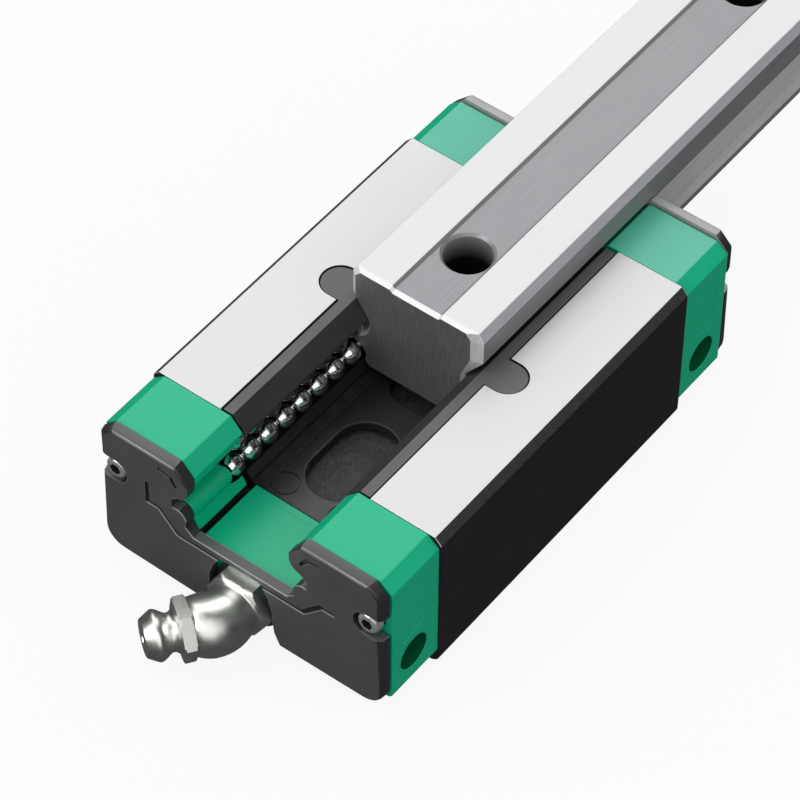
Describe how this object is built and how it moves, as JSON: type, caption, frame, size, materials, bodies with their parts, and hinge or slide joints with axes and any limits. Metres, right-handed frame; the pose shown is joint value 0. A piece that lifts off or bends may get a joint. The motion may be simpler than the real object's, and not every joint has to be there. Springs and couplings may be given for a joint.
{
  "type": "linear rail and carriage",
  "caption": "Profiled linear guide rail running through a square carriage block with recirculating ball rows, plastic end caps, end seals and a bent grease nipple.",
  "frame": {"origin": "middle of the carriage's mounting face, which the part rests on", "axes": "+X along the rail, away from the grease nipple; -Z is the mounting face's outward normal, so +Z points to the rail's base; +Y is the side that the nipple bends to"},
  "size_m": [0.1282, 0.044, 0.03],
  "materials": {
    "rail_steel": "ground bearing steel, satin, with darker profile-ground flanks",
    "carriage_steel": "ground bearing steel with dark as-machined chamfers",
    "cap_plastic": "moulded green engineering plastic, satin",
    "seal_rubber": "moulded charcoal seal rubber over a stiff plate",
    "strip_rubber": "moulded dark grey strip",
    "retainer_plastic": "moulded black plastic with a soft sheen",
    "tube_plastic": "natural plastic, hidden inside the block",
    "ball_steel": "polished bearing balls",
    "screw_steel": "plated screws",
    "nipple_plating": "bright plated steel"
  },
  "bodies": {
    "carriage": {"carriage_block": "carriage_steel", "end_cap_near": "cap_plastic", "end_cap_far": "cap_plastic", "end_seal_near": "seal_rubber", "end_seal_far": "seal_rubber", "bottom_seal_left": "strip_rubber", "bottom_seal_right": "strip_rubber", "centre_retainer": "retainer_plastic", "row_retainer_left": "retainer_plastic", "row_retainer_right": "retainer_plastic", "return_tube_base_left": "tube_plastic", "return_tube_base_right": "tube_plastic", "return_tube_head_left": "tube_plastic", "return_tube_head_right": "tube_plastic", "ball_circuit_base_left": "ball_steel", "ball_circuit_base_right": "ball_steel", "ball_circuit_head_left": "ball_steel", "ball_circuit_head_right": "ball_steel", "turn_guide_base_left_near": "retainer_plastic", "turn_guide_base_left_far": "retainer_plastic", "turn_guide_base_right_near": "retainer_plastic", "turn_guide_base_right_far": "retainer_plastic", "turn_guide_head_left_near": "retainer_plastic", "turn_guide_head_left_far": "retainer_plastic", "turn_guide_head_right_near": "retainer_plastic", "turn_guide_head_right_far": "retainer_plastic", "cap_screw_near_left": "screw_steel", "cap_screw_near_right": "screw_steel", "cap_screw_far_left": "screw_steel", "cap_screw_far_right": "screw_steel", "grease_nipple": "nipple_plating", "nipple_spring": "screw_steel", "lube_plug": "screw_steel"},
    "rail": {"rail": "rail_steel"},
    "check_ball": {"nipple_check_ball": "ball_steel"}
  },
  "joints": [
    {"name": "rail_slide", "type": "slide", "parent": "carriage", "child": "rail", "axis": [1, 0, 0], "range_m": [-0.097, 0.02]},
    {"name": "check_ball_slide", "type": "slide", "parent": "carriage", "child": "check_ball", "axis": [0.8141, -0.5807, 0], "range_m": [0, 0.0006], "stiffness_N_per_m": 200, "springref_m": -0.0005}
  ]
}
